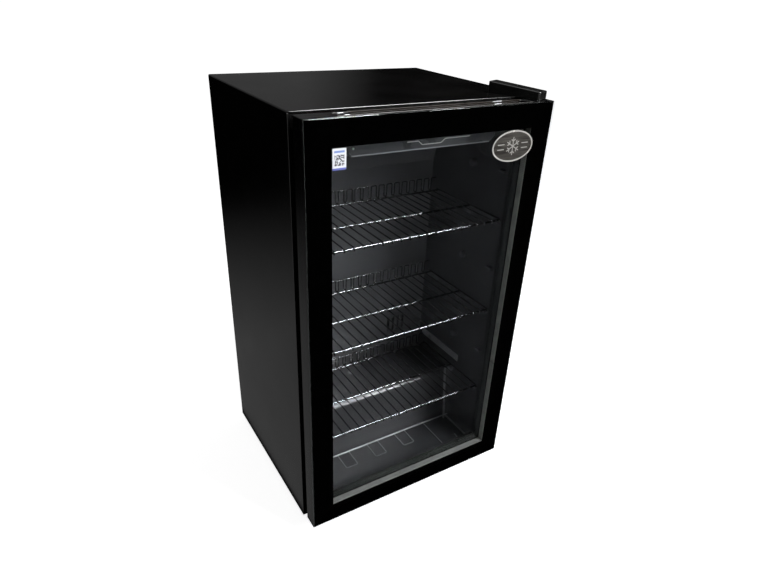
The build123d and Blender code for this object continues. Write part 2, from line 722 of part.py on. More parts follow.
def grommet_spots():
    return [(COMP_X + dx, COMP_Y + dy) for dx in (-64, 64) for dy in (-38, 38)]


def compressor_grommets():
    """Rubber mounts between the compressor's feet and the channel."""
    mounts = []
    for x, y in grommet_spots():
        low = BASE + PLATE_UP + 2
        mounts += [rod((x, y, low), (x, y, COMP_LOW), 9)]
    return Compound(children=mounts)


def compressor():
    """Welded steel pot with a belt seam, four foot lugs and two stub pipes."""
    place = Pos(COMP_X, COMP_Y, COMP_LOW + 2)
    pot = extrude(place * Ellipse(62, 48), amount=COMP_H)
    pot = fillet(pot.edges().group_by(Axis.Z)[-1], 18)
    pot += extrude(place * Pos(0, 0, COMP_H * 0.55) * Ellipse(65, 51), amount=4)
    for x, y in grommet_spots():
        pot += block(x - 11, x + 11, y - 11, y + 11, COMP_LOW, COMP_LOW + 2.5)
    pot += block(COMP_X - 66, COMP_X + 66, COMP_Y - 28, COMP_Y + 28, COMP_LOW, COMP_LOW + 2.5)
    pot += rod((COMP_X - 40, COMP_Y, COMP_LOW + 30), (COMP_X - 72, COMP_Y, COMP_LOW + 30), 4)
    return pot + rod((COMP_X, COMP_Y + 40, COMP_LOW + 26), (COMP_X, COMP_Y + 62, COMP_LOW + 26), 4)


def relay_box():
    """Start relay and overload under a clip-on cover, on the pot's side."""
    cover = block(COMP_X + 65, COMP_X + 92, COMP_Y - 20, COMP_Y + 20, COMP_LOW + 22, COMP_LOW + 66)
    return fillet(cover.edges().group_by(Axis.X)[-1], 3)


TRAY_HX, TRAY_HY, TRAY_H = 64.0, 44.0, 14.0


def drip_tray():
    """Open tray on top of the warm compressor, where the defrost water dries off."""
    low = COMP_LOW + 2 + COMP_H
    wall = 2
    tray = rounded(block(COMP_X - TRAY_HX, COMP_X + TRAY_HX, COMP_Y - TRAY_HY, COMP_Y + TRAY_HY,
                         low, low + TRAY_H), 8)
    hollow = block(COMP_X - TRAY_HX + wall, COMP_X + TRAY_HX - wall, COMP_Y - TRAY_HY + wall,
                   COMP_Y + TRAY_HY - wall, low + wall, low + TRAY_H + 1)
    return tray - rounded(hollow, 6)


DRAIN_Y = FACE + LINER_BACK_IN - 30
DRAIN_R = 7.0


def drain_tube():
    """Hose from behind the duct panel down through the step into the tray."""
    low, high = COMP_LOW + COMP_H + 7, STEP_TOP + 4
    hose = rod((COMP_X, DRAIN_Y, low), (COMP_X, DRAIN_Y, high), DRAIN_R)
    return hose - rod((COMP_X, DRAIN_Y, low - 1), (COMP_X, DRAIN_Y, high + 1), DRAIN_R - 2)


def clear_drain(shape):
    """A shape with the drain hose's hole through it."""
    return shape - rod((COMP_X, DRAIN_Y, BASE + 100), (COMP_X, DRAIN_Y, STEP_TOP + 6),
                       DRAIN_R + 0.02)


def filter_drier():
    """Copper drier with necked ends, upright beside the compressor."""
    x, y, z = -182.0, BACK - 30, BASE + 30
    body = rod((x, y, z), (x, y, z + 62), 9)
    body = fillet(body.edges(), 5)
    return body + rod((x, y, z - 12), (x, y, z + 76), 3)


PIPE_R = 3.0


def refrigerant_pipes():
    """Discharge pipe up to the condenser and suction pipe up through the step."""
    y = COMP_Y + 62
    discharge = tube([(COMP_X, y, COMP_LOW + 26), (COMP_X, y + 14, COMP_LOW + 26),
                      (COMP_X, y + 14, BASE + 118), (-20, y + 14, BASE + 118)], 7, PIPE_R)
    suction = tube([(COMP_X - 72, COMP_Y, COMP_LOW + 30), (COMP_X - 88, COMP_Y, COMP_LOW + 30),
                    (COMP_X - 88, COMP_Y, BASE + 126)], 7, PIPE_R)
    return Compound(children=[discharge, suction])


# ---- condenser on the back ----------------------------------------------------------------
COIL_R = 2.5
COIL_Y = BACK + 7.0
COIL_HALF = 190.0
COIL_RUNS = 12
COIL_PITCH = 44.0
COIL_LOW = BASE + 190.0
FIN_WIRE_R = 0.75
CLIP_X, CLIP_W = 155.0, 7.5


def condenser_coil():
    """Serpentine tube that gives off the heat."""
    points = []
    for k in range(COIL_RUNS):
        z = COIL_LOW + k * COIL_PITCH
        ends = [(-COIL_HALF, COIL_Y, z), (COIL_HALF, COIL_Y, z)]
        points += ends if k % 2 == 0 else ends[::-1]
    return tube(points, COIL_PITCH / 2 - 0.5, COIL_R)


def condenser_wires():
    """Upright wires welded to both sides of the coil."""
    low, high = COIL_LOW - 8, COIL_LOW + (COIL_RUNS - 1) * COIL_PITCH + 8
    wires = []
    for k in range(33):
        x = -160 + k * 10
        for side in (-1, 1):
            y = COIL_Y + side * (COIL_R + FIN_WIRE_R)
            wires += [rod((x, y, low), (x, y, high), FIN_WIRE_R)]
    return Compound(children=wires)


def condenser_clips():
    """Plastic stand-offs that hold the coil off the back and bumper it from a wall."""
    clips = []
    for side in (-1, 1):
        for k in (1, COIL_RUNS - 2):
            z = COIL_LOW + k * COIL_PITCH
            x = side * CLIP_X
            clip = block(x - CLIP_W / 2, x + CLIP_W / 2, BACK, OVERALL_D / 2, z - 8, z + 8)
            clip = fillet(clip.edges().group_by(Axis.Y)[-1], 2)
            clips += [clip - rod((x - CLIP_W, COIL_Y, z), (x + CLIP_W, COIL_Y, z), COIL_R + 0.05)]
    return Compound(children=[s for clip in clips for s in clip.solids()])


# ---- rear guard and controls --------------------------------------------------------------
GUARD_T = 1.2
GUARD_LOW, GUARD_HIGH = BASE + 4.0, STEP_TOP - 34.0
PANEL_Z = (GUARD_LOW + GUARD_HIGH) / 2 + 12
KNOB_X, ROCKER_X, GLAND_X = -150.0, -112.0, -182.0
GLAND_R = 3.7


def rear_guard():
    """Louvred plate over the machine compartment, with the thermostat at one end."""
    guard = block(-HALF + 2, HALF - 2, BACK, BACK + GUARD_T, GUARD_LOW, GUARD_HIGH)
    for column in range(3):
        for row in range(8):
            x, z = -20 + column * 78, GUARD_LOW + 18 + row * 11
            guard -= rounded(block(x - 32, x + 32, BACK - 1, BACK + 3, z - 2.5, z + 2.5), 2.4,
                             Axis.Y)
    guard -= rod((KNOB_X, BACK - 1, PANEL_Z), (KNOB_X, BACK + 3, PANEL_Z), 4.3)
    guard -= block(ROCKER_X - 11, ROCKER_X + 11, BACK - 1, BACK + 3, PANEL_Z - 7, PANEL_Z + 7)
    return guard - rod((GLAND_X, BACK - 1, GUARD_LOW + 22), (GLAND_X, BACK + 3, GUARD_LOW + 22),
                       GLAND_R + 2.5)


def thermostat():
    """Thermostat body behind the rear plate."""
    body = block(KNOB_X - 22, KNOB_X + 22, BACK - 30, BACK, PANEL_Z - 16, PANEL_Z + 16)
    return fillet(body.edges().group_by(Axis.Y)[0], 2)


def thermostat_knob():
    """Ribbed knob with a pointer, on the thermostat's spindle."""
    y0, y1 = BACK + GUARD_T + 0.4, OVERALL_D / 2 - 1
    knob = rod((KNOB_X, y0, PANEL_Z), (KNOB_X, y1, PANEL_Z), 13)
    knob = chamfer(knob.edges().group_by(Axis.Y)[-1], 1)
    for k in range(16):
        groove = Pos(13.6, 0, 0) * Cylinder(1.4, 30)
        knob -= Pos(KNOB_X, y1, PANEL_Z) * Rot(0, k * 22.5, 0) * Rot(90, 0, 0) * groove
    knob -= block(KNOB_X - 0.8, KNOB_X + 0.8, y1 - 0.8, y1 + 1, PANEL_Z + 3, PANEL_Z + 12)
    return knob + rod((KNOB_X, BACK + 0.3, PANEL_Z), (KNOB_X, y0, PANEL_Z), 4)


def switch_bezel():
    """Frame and contact box of the light switch."""
    bezel = block(ROCKER_X - 13, ROCKER_X + 13, BACK + GUARD_T, BACK + GUARD_T + 2, PANEL_Z - 9,
                  PANEL_Z + 9)
    box = block(ROCKER_X - 10.9, ROCKER_X + 10.9, BACK - 18, BACK + GUARD_T, PANEL_Z - 6.9,
                PANEL_Z + 6.9)
    well = block(ROCKER_X - 9, ROCKER_X + 9, BACK - 7, BACK + 8, PANEL_Z - 5, PANEL_Z + 5)
    return bezel + box - well


ROCKER_Y = BACK + 1.5


def light_rocker():
    """Rocker of the light switch, drawn resting on its lit side."""
    side = [(-8, -2.5), (8, -2.5), (8, 2.4), (0, 1.2), (-8, 4.6)]
    outline = make_face(Polyline(*[(ROCKER_X + x, ROCKER_Y + y, PANEL_Z - 4.6) for x, y in side],
                                 close=True))
    return extrude(outline, amount=9.2, dir=(0, 0, 1))


def cord_gland():
    """Plastic bush that the mains lead passes through, left empty."""
    z = GUARD_LOW + 22
    bush = rod((GLAND_X, BACK - 8, z), (GLAND_X, BACK + GUARD_T, z), GLAND_R + 2.4)
    bush += rod((GLAND_X, BACK + GUARD_T, z), (GLAND_X, BACK + GUARD_T + 3, z), GLAND_R + 4.5)
    return bush - rod((GLAND_X, BACK - 9, z), (GLAND_X, BACK + 6, z), GLAND_R)


# ---- build and write ----------------------------------------------------------------------
def build():
    liner = inner_liner()
    parts.update(outer_wrap=outer_wrap(), inner_liner=clear_drain(liner),
                 foam_insulation=clear_foam(foam_insulation()), back_sheet=back_sheet(),
                 base_pan=foot_bores(base_pan()), duct_panel=duct_panel(), duct_hood=duct_hood(),
                 evaporator=evaporator(), fan_frame=fan_frame(), fan_blades=fan_blades(),
                 light_box=light_box(), light_lens=light_lens(), led_strip=led_strip(),
                 power_lamp=power_lamp(), shelf_supports=shelf_supports(liner))
    for name, up in zip(("lower", "middle", "upper"), SHELF_UP):
        parts[f"{name}_shelf"] = shelf_deck(up)
        parts[f"{name}_shelf_fence"] = shelf_fence(up)
    right = right_stile()
    parts.update(front_glass=front_glass(), border_print=border_print(), spacer_bar=spacer_bar(),
                 rear_glass=rear_glass(), right_stile=right,
                 left_stile=stile().mirror(Plane.YZ), top_rail=top_rail(),
                 bottom_rail=bottom_rail(), door_gasket=door_gasket(),
                 door_magnets=door_magnets(), hinge_bushes=hinge_bushes(), badge_rim=badge_rim(),
                 badge_face=badge_face(), door_label=door_label())
    parts.update(hinge_cover=hinge_cover(), top_hinge=top_hinge(), bottom_hinge=bottom_hinge(),
                 hinge_screws=hinge_screws(), hinge_washer=hinge_washer(),
                 front_left_foot=front_foot(-1), front_right_foot=front_foot(1),
                 rear_feet=rear_feet())
    parts.update(compressor_base=compressor_base(), compressor=compressor(),
                 compressor_grommets=compressor_grommets(), relay_box=relay_box(),
                 drip_tray=drip_tray(), drain_tube=drain_tube(),
                 filter_drier=filter_drier(), refrigerant_pipes=refrigerant_pipes())
    parts.update(condenser_coil=condenser_coil(), condenser_wires=condenser_wires(),
                 condenser_clips=condenser_clips(), rear_guard=rear_guard(),
                 thermostat=thermostat(), thermostat_knob=thermostat_knob(),
                 switch_bezel=switch_bezel(), light_rocker=light_rocker(),
                 cord_gland=cord_gland())


def clear_foam(foam):
    """Foam slabs with the drain hose's and the levelling studs' holes through them."""
    slabs = [foot_bores(clear_drain(slab)) for slab in foam.solids()]
    return Compound(children=[s for slab in slabs for s in slab.solids()])


build()
os.makedirs("parts", exist_ok=True)
for node, shape in parts.items():
    export_step(shape, f"parts/{node}.step")
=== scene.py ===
import json
import math

import bmesh
import bpy
from mathutils import Matrix, Vector

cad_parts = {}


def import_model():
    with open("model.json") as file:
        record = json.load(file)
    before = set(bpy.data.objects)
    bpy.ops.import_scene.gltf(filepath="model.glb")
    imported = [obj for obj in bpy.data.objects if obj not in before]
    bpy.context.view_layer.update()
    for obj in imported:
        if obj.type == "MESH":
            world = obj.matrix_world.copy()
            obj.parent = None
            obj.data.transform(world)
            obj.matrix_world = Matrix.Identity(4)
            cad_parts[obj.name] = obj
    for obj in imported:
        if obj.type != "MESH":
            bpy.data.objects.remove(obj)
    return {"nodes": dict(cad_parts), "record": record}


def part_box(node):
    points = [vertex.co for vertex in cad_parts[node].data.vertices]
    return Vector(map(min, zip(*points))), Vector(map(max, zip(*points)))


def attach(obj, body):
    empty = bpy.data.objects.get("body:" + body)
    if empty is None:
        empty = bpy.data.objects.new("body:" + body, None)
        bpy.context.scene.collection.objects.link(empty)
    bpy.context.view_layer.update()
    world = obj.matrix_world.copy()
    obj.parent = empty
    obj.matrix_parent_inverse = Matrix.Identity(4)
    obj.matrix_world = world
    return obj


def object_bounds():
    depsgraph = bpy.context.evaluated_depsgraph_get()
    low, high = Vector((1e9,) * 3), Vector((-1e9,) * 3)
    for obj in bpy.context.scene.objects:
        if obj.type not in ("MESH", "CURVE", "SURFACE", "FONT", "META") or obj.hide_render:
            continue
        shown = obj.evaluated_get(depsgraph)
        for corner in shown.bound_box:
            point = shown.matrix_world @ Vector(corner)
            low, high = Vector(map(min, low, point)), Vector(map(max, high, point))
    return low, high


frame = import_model()
NODES = frame["nodes"]
CAD_LOW, CAD_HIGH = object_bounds()
MM = 0.001
WALL = 206 * MM             # liner: inner side wall, floor, and step over the compressor
FLOOR = 43 * MM
STEP_FOOT_Y, STEP_TOP = -72.2 * MM, 178 * MM
STEP_LEAN = 15 / 135
GRIP_BACK = -192.7 * MM     # rear wall of the door's finger grip

bpy.context.scene.view_settings.view_transform = "Standard"


# ---- node helpers -------------------------------------------------------------------------
class Shader:
    """A material under construction, with short calls for the nodes that repeat."""

    def __init__(self, name):
        self.material = bpy.data.materials.new(name)
        self.material.use_nodes = True
        self.tree = self.material.node_tree
        self.tree.nodes.clear()
        self.out = self.tree.nodes.new("ShaderNodeOutputMaterial")

    def add(self, kind, **settings):
        node = self.tree.nodes.new("ShaderNode" + kind)
        for key, value in settings.items():
            setattr(node, key, value)
        return node

    def link(self, source, target):
        self.tree.links.new(source, target)

    def position(self):
        """Place in the object's own frame, in metres."""
        return self.add("TexCoord").outputs["Object"]

    def noise(self, scale, detail=3.0, stretch=(1, 1, 1)):
        node = self.add("TexNoise")
        node.inputs["Scale"].default_value = scale
        node.inputs["Detail"].default_value = detail
        if stretch == (1, 1, 1):
            self.link(self.position(), node.inputs["Vector"])
        else:
            mapping = self.add("Mapping")
            mapping.inputs["Scale"].default_value = stretch
            self.link(self.position(), mapping.inputs["Vector"])
            self.link(mapping.outputs[0], node.inputs["Vector"])
        return node.outputs["Fac"]

    def ramp(self, source, low, high, start=0.0, end=1.0):
        """Blend from one colour to another as the source goes from start to end."""
        node = self.add("ValToRGB")
        node.color_ramp.elements[0].position = start
        node.color_ramp.elements[0].color = (*low, 1)
        node.color_ramp.elements[1].position = end
        node.color_ramp.elements[1].color = (*high, 1)
        self.link(source, node.inputs[0])
        return node.outputs[0]

    def spread(self, source, low, high, start=0.0, end=1.0):
        """Rescale a value from start..end to low..high."""
        node = self.add("MapRange")
        for key, value in (("From Min", start), ("From Max", end), ("To Min", low),
                           ("To Max", high)):
            node.inputs[key].default_value = value
        self.link(source, node.inputs["Value"])
        return node.outputs[0]

    def blend(self, share, first, second, mode="MIX"):
        """Go from the first colour to the second as the share goes from 0 to 1."""
        node = self.add("Mix", data_type="RGBA", blend_type=mode)
        self.link(share, node.inputs[0])
        for socket, colour in ((node.inputs[6], first), (node.inputs[7], second)):
            if isinstance(colour, bpy.types.NodeSocket):
                self.link(colour, socket)
            else:
                socket.default_value = (*colour, 1)
        return node.outputs[2]

    def math(self, operation, first, second=None):
        node = self.add("Math", operation=operation)
        for socket, value in zip(node.inputs, (first, second)):
            if isinstance(value, (int, float)):
                socket.default_value = value
            elif value is not None:
                self.link(value, socket)
        return node.outputs[0]

    def axis(self, letter):
        """One coordinate of the place, in metres."""
        node = self.add("SeparateXYZ")
        self.link(self.position(), node.inputs[0])
        return node.outputs[letter]

    def bump(self, height, strength, depth=0.0005):
        node = self.add("Bump")
        node.inputs["Strength"].default_value = strength
        node.inputs["Distance"].default_value = depth
        self.link(height, node.inputs["Height"])
        return node.outputs[0]

    def surface(self, colour, rough, normal=None, **constants):
        """Principled surface; colour and rough are values or sockets."""
        node = self.add("BsdfPrincipled")
        for key, value in (("Base Color", colour), ("Roughness", rough)):
            if isinstance(value, bpy.types.NodeSocket):
                self.link(value, node.inputs[key])
            elif key == "Base Color":
                node.inputs[key].default_value = (*value, 1)
            else:
                node.inputs[key].default_value = value
        if normal is not None:
            self.link(normal, node.inputs["Normal"])
        for key, value in constants.items():
            node.inputs[key.replace("_", " ")].default_value = value
        self.link(node.outputs[0], self.out.inputs[0])
        return node


def tinted(colour, change):
    """The colour made lighter or darker by a factor."""
    return tuple(channel * change for channel in colour)


def plastic(name, colour, rough, grain=900.0, bump=0.12, patch=0.12, **constants):
    """Moulded plastic or paint: fine grain, soft patches of tone and gloss."""
    s = Shader(name)
    patches = s.noise(9.0, 4.0)
    tone = s.ramp(patches, tinted(colour, 1 - patch), tinted(colour, 1 + patch), 0.35, 0.65)
    gloss = s.spread(s.noise(26.0, 5.0), rough * 0.85, rough * 1.15, 0.3, 0.7)
    s.surface(tone, gloss, s.bump(s.noise(grain, 2.0), bump, 0.0002), **constants)
    return s.material


def metal(name, colour, rough, brush=(1, 1, 1), scale=400.0, bump=0.15, spots=0.10):
    """Plated or mill-finish metal with a grain that can be stretched along one axis."""
    s = Shader(name)
    tone = s.ramp(s.noise(14.0, 5.0), tinted(colour, 1 - spots), tinted(colour, 1 + spots),
                  0.3, 0.7)
    grain = s.noise(scale, 3.0, brush)
    gloss = s.spread(grain, rough * 0.75, rough * 1.3, 0.3, 0.7)
    s.surface(tone, gloss, s.bump(grain, bump, 0.0002), Metallic=1.0)
    return s.material


# ---- materials ----------------------------------------------------------------------------
def painted_steel():
    """Black powder coat with a fine orange-peel texture."""
    s = Shader("painted_steel")
    tone = s.ramp(s.noise(5.0, 4.0), (0.0008, 0.0008, 0.0008), (0.0012, 0.0011, 0.0011))
    gloss = s.spread(s.noise(14.0, 5.0), 0.20, 0.25, 0.3, 0.7)
    peel = s.math("ADD", s.noise(420.0, 2.0), s.math("MULTIPLY", s.noise(1500.0, 1.0), 0.4))
    s.surface(tone, gloss, s.bump(peel, 0.10, 0.00015))
    return s.material


def pane_glass():
    """Clear sheet glass: it mirrors more as it is seen more edge-on, and lets light through."""
    s = Shader("pane_glass")
    clear = s.add("BsdfTransparent")
    clear.inputs[0].default_value = (0.97, 0.975, 0.98, 1)
    facing = s.add("LayerWeight")
    facing.inputs["Blend"].default_value = 0.5
    grazing = s.math("POWER", facing.outputs["Facing"], 5.0)
    share = s.spread(grazing, 0.045, 1.0)
    smear = s.spread(s.noise(18.0, 6.0), 0.02, 0.05, 0.35, 0.7)
    mirror = s.surface((0.9, 0.95, 0.94), smear, Metallic=1.0)
    mix = s.add("MixShader")
    s.link(share, mix.inputs[0])
    s.link(clear.outputs[0], mix.inputs[1])
    s.link(mirror.outputs[0], mix.inputs[2])
    s.link(mix.outputs[0], s.out.inputs[0])
    return s.material


def border_black():
    """Fired enamel seen through the glass, with a very slight mottle."""
    s = Shader("border_black")
    tone = s.ramp(s.noise(60.0, 4.0), (0.0003, 0.0003, 0.0003), (0.0006, 0.0006, 0.0006))
    s.surface(tone, s.spread(s.noise(40.0, 3.0), 0.30, 0.38), Specular_IOR_Level=0.0)
    return s.material


def spacer_metal():
    """Warm grey spacer: cross slots at a fine pitch, and a paler bead along the front pane."""
    s = Shader("spacer_metal")
    patches = s.ramp(s.noise(70.0, 5.0), (0.138, 0.136, 0.129), (0.194, 0.192, 0.182), 0.3, 0.7)
    along = s.math("ADD", s.axis("X"), s.axis("Z"))
    beat = s.math("PINGPONG", along, 1.6 * MM)
    slot = s.math("MULTIPLY", s.math("LESS_THAN", beat, 0.45 * MM), 0.45)
    slotted = s.blend(slot, patches, (0.05, 0.053, 0.05))
    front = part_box("spacer_bar")[0].y
    bead = s.math("LESS_THAN", s.axis("Y"), front + 2.2 * MM)
    tone = s.blend(bead, slotted, (0.215, 0.213, 0.203))
    grain = s.noise(900.0, 2.0)
    s.surface(tone, s.spread(grain, 0.42, 0.6), s.bump(grain, 0.2, 0.0001), Metallic=0.2)
    return s.material


def painted_edge_highlights(s):
    """Share of painted highlight on the liner: floor ribs, the step's foot and corners, where
    rounded edges catch the light.
    """
    y, z = s.axis("Y"), s.axis("Z")
    reach = 20 * MM             # past the liner's corner radius

    def stripe(value, middle, half):
        """Full within half the half-width of the middle, fading out to its edges."""
        away = s.math("ABSOLUTE", s.math("SUBTRACT", value, middle))
        return s.spread(away, 1.0, 0.0, half * 0.5, half)

    def within(share, *tests):
        for operation, value, limit in tests:
            share = s.math("MULTIPLY", share, s.math(operation, value, limit))
        return share

    from_wall = s.math("SUBTRACT", WALL, s.math("ABSOLUTE", s.axis("X")))
    from_floor = s.math("SUBTRACT", z, FLOOR)
    lean = s.math("MULTIPLY", from_floor, STEP_LEAN)
    from_step = s.math("SUBTRACT", s.math("ADD", lean, STEP_FOOT_Y), y)
    ribs = within(s.spread(from_floor, 0.0, 1.0, 0.1 * MM, 0.6 * MM),
                  ("LESS_THAN", from_floor, 1.6 * MM), ("GREATER_THAN", from_wall, reach))
    foot = within(stripe(s.math("SUBTRACT", from_floor, from_step), 0.0, 2.6 * MM),
                  ("LESS_THAN", from_floor, 6 * MM), ("LESS_THAN", from_step, 8 * MM))
    corner = within(stripe(s.math("SUBTRACT", from_wall, from_step), 11 * MM, 5 * MM),
                    ("LESS_THAN", z, STEP_TOP), ("LESS_THAN", from_step, reach),
                    ("LESS_THAN", from_wall, reach))
    side = within(stripe(s.math("SUBTRACT", from_wall, from_floor), 8 * MM, 4 * MM),
                  ("LESS_THAN", y, STEP_FOOT_Y), ("LESS_THAN", from_floor, reach))
    soft = s.math("MULTIPLY", s.math("MAXIMUM", s.math("MAXIMUM", corner, side), ribs), 0.65)
    return s.math("MAXIMUM", soft, foot)


def liner_plastic(name="liner_plastic", tone=0.10, edges=None):
    """Dark satin sheet, drawn over a mould: mottled, with painted highlights on its edges and
    painted shade at the floor.
    """
    s = Shader(name)
    base = (tone, tone, tone * 1.03)
    colour = s.ramp(s.noise(7.0, 4.0), tinted(base, 0.88), tinted(base, 1.12), 0.3, 0.7)
    if edges:
        # painted highlight: the edges mask lightens the liner towards pale grey (0.42) on its
        # ribs, foot and corners
        colour = s.blend(edges(s), colour, (0.42, 0.42, 0.43))
    # painted shade: the floor and the walls up to 19 mm above it are darkened by up to about a
    # third and turned bluer
    floor_shade = s.spread(s.axis("Z"), 0.5, 0.0, FLOOR + 1 * MM, FLOOR + 19 * MM)
    colour = s.blend(floor_shade, colour, (0.25, 0.27, 0.29), "MULTIPLY")
    gloss = s.spread(s.noise(11.0, 5.0), 0.20, 0.27, 0.3, 0.7)
    grain = s.noise(1100.0, 2.0)
    s.surface(colour, gloss, s.bump(grain, 0.06, 0.0001), Specular_IOR_Level=0.85)
    return s.material


def frame_plastic():
    """Black plastic of the door frame, dark grey where its uprights face the opening."""
    s = Shader("frame_plastic")
    black = s.ramp(s.noise(9.0, 4.0), (0.0013, 0.0013, 0.0014), (0.0017, 0.0017, 0.0018),
                   0.35, 0.65)
    sight_half = -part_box("left_stile")[1].x
    past = s.math("SUBTRACT", s.math("ABSOLUTE", s.axis("X")), sight_half)
    reveal = s.math("LESS_THAN", s.math("ABSOLUTE", past), 1.0 * MM)
    gloss = s.spread(s.noise(26.0, 5.0), 0.187, 0.253, 0.3, 0.7)
    s.surface(s.blend(reveal, black, (0.04, 0.041, 0.043)), gloss,
              s.bump(s.noise(900.0, 2.0), 0.05, 0.0002), Specular_IOR_Level=0.4)
    return s.material


def badge_material():
    """Brushed dark face of the badge."""
    s = Shader("badge_face")
    lines = s.noise(260.0, 3.0, (0.08, 1.0, 1.0))
    tone = s.ramp(lines, (0.020, 0.018, 0.016), (0.072, 0.067, 0.060), 0.3, 0.7)
    s.surface(tone, s.spread(lines, 0.28, 0.42), s.bump(lines, 0.1, 0.0001), Metallic=0.6)
    return s.material


def label_paper():
    """White paper: a blue heading bar, a block of random square specks and a dark blue foot."""
    s = Shader("label_paper")
    low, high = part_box("door_label")
    middle = (low.x + high.x) / 2
    across = s.math("ABSOLUTE", s.math("SUBTRACT", s.axis("X"), middle))
    up = s.axis("Z")

    def band(bottom, top, half):
        inside = s.math("MULTIPLY", s.math("GREATER_THAN", up, bottom),
                        s.math("LESS_THAN", up, top))
        return s.math("MULTIPLY", inside, s.math("LESS_THAN", across, half))

    cell = s.add("CombineXYZ")
    for socket, letter in zip(cell.inputs, "XZ"):
        s.link(s.math("FLOOR", s.math("DIVIDE", s.axis(letter), 1.4 * MM)), socket)
    specks = s.add("TexWhiteNoise", noise_dimensions="3D")
    s.link(cell.outputs[0], specks.inputs["Vector"])
    dark = s.math("MULTIPLY", s.math("GREATER_THAN", specks.outputs["Value"], 0.42),
                  band(low.z + 6.5 * MM, low.z + 22.5 * MM, 8 * MM))
    colour = s.ramp(s.noise(900.0, 3.0), (0.62, 0.64, 0.68), (0.70, 0.72, 0.76))
    colour = s.blend(dark, colour, (0.05, 0.05, 0.06))
    heading = band(high.z - 6.5 * MM, high.z - 3.5 * MM, 8.5 * MM)
    colour = s.blend(heading, colour, (0.16, 0.25, 0.55))
    colour = s.blend(s.math("LESS_THAN", up, low.z + 3.2 * MM), colour, (0.10, 0.12, 0.42))
    s.surface(colour, 0.55, s.bump(s.noise(700.0, 3.0), 0.1, 0.0001))
    return s.material


def foam_material():
    """Rigid foam skin."""
    s = Shader("foam")
    cells = s.add("TexVoronoi")
    cells.inputs["Scale"].default_value = 420.0
    s.link(s.position(), cells.inputs["Vector"])
    tone = s.ramp(cells.outputs["Distance"], (0.80, 0.70, 0.46), (0.62, 0.52, 0.32), 0.1, 0.8)
    s.surface(tone, 0.85, s.bump(cells.outputs["Distance"], 0.4, 0.0006))
    return s.material


def lens_material():
    """Frosted diffuser with a faint painted glow; its lamp is not lit."""
    s = Shader("lens")
    tone = s.ramp(s.noise(40.0, 2.0), (0.30, 0.31, 0.32), (0.42, 0.43, 0.44))
    # painted glow: Emission_Strength 0.02 on a lamp that is switched off
    s.surface(tone, 0.35, s.bump(s.noise(1200.0, 1.0), 0.1, 0.0001),
              Emission_Color=(0.93, 0.97, 1.0, 1), Emission_Strength=0.02)
    return s.material


MATERIALS = {
    "painted_steel": painted_steel(),
    "zinc_steel": metal("zinc_steel", (0.46, 0.47, 0.49), 0.38, scale=180.0),
    "liner_plastic": liner_plastic(edges=painted_edge_highlights),
    # painted light: the back duct is the liner plastic at a lighter tone (0.16 against 0.10),
    # standing in for the light on the back wall
    "duct_plastic": liner_plastic("duct_plastic", 0.16),
    "foam": foam_material(),
    "clear_glass": pane_glass(),
    "black_print": border_black(),
    "spacer_alu": spacer_metal(),
    "frame_plastic": frame_plastic(),
    "grip_plastic": plastic("grip_plastic", (0.003, 0.003, 0.003), 0.16, bump=0.03,
                            Specular_IOR_Level=0.2),
    "gasket_rubber": plastic("gasket_rubber", (0.03, 0.03, 0.031), 0.55, grain=600.0),
    "magnet": plastic("magnet", (0.03, 0.028, 0.026), 0.7),
    "nylon": plastic("nylon", (0.70, 0.69, 0.64), 0.42),
    "badge_silver": plastic("badge_silver", (0.50, 0.49, 0.465), 0.25, grain=700.0, bump=0.05,
                            Metallic=0.35),
    "badge_dark": badge_material(),
    "label_paper": label_paper(),
    "shelf_wire": metal("shelf_wire", (0.21, 0.21, 0.215), 0.14, scale=700.0, bump=0.05),
    "cover_plastic": plastic("cover_plastic", (0.003, 0.003, 0.0027), 0.30, grain=1400.0,
                             bump=0.3, patch=0.35),
    "foot_plastic": plastic("foot_plastic", (0.012, 0.012, 0.012), 0.5),
    "fin_alu": metal("fin_alu", (0.75, 0.76, 0.78), 0.34, (1, 1, 6), 300.0),
    "compressor_paint": plastic("compressor_paint", (0.012, 0.012, 0.013), 0.34, grain=500.0,
                                bump=0.3),
    "grommet_rubber": plastic("grommet_rubber", (0.014, 0.014, 0.014), 0.65),
    "relay_plastic": plastic("relay_plastic", (0.022, 0.022, 0.023), 0.45),
    "tray_plastic": plastic("tray_plastic", (0.16, 0.16, 0.17), 0.42),
    "hose_rubber": plastic("hose_rubber", (0.12, 0.12, 0.12), 0.5),
    "copper": metal("copper", (0.66, 0.36, 0.22), 0.30, scale=300.0, spots=0.2),
    "condenser_paint": plastic("condenser_paint", (0.012, 0.012, 0.012), 0.38, grain=700.0,
                               bump=0.25),
    "lens_plastic": lens_material(),
    "led_board": plastic("led_board", (0.82, 0.82, 0.78), 0.4),
    "lamp_green": plastic("lamp_green", (0.62, 0.72, 0.66), 0.2),
    "lightbox_plastic": plastic("lightbox_plastic", (0.10, 0.102, 0.105), 0.30, bump=0.06),
    "knob_plastic": plastic("knob_plastic", (0.02, 0.02, 0.02), 0.42),
    "rocker_plastic": plastic("rocker_plastic", (0.010, 0.010, 0.010), 0.25),
}


def clothe_cad_nodes():
    """Give every CAD node the material of its slot."""
    for entry in frame["record"]["subparts"]:
        mesh = NODES[entry["node"]].data
        mesh.materials.clear()
        mesh.materials.append(MATERIALS[entry["material_slot"]])
    NODES["shelf_supports"].data.materials[0] = plastic("support_plastic", (0.13, 0.13, 0.14),
                                                        0.10, bump=0.04)


clothe_cad_nodes()


# ---- added pieces -------------------------------------------------------------------------
def mesh_object(name, builder, material, body):
    """A detail mesh, built by builder(bm), that rides on a body."""
    bm = bmesh.new()
    builder(bm)
    mesh = bpy.data.meshes.new(name)
    bm.to_mesh(mesh)
    bm.free()
    mesh.materials.append(material)
    piece = bpy.data.objects.new(name, mesh)
    bpy.context.scene.collection.objects.link(piece)
    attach(piece, body)
    return piece


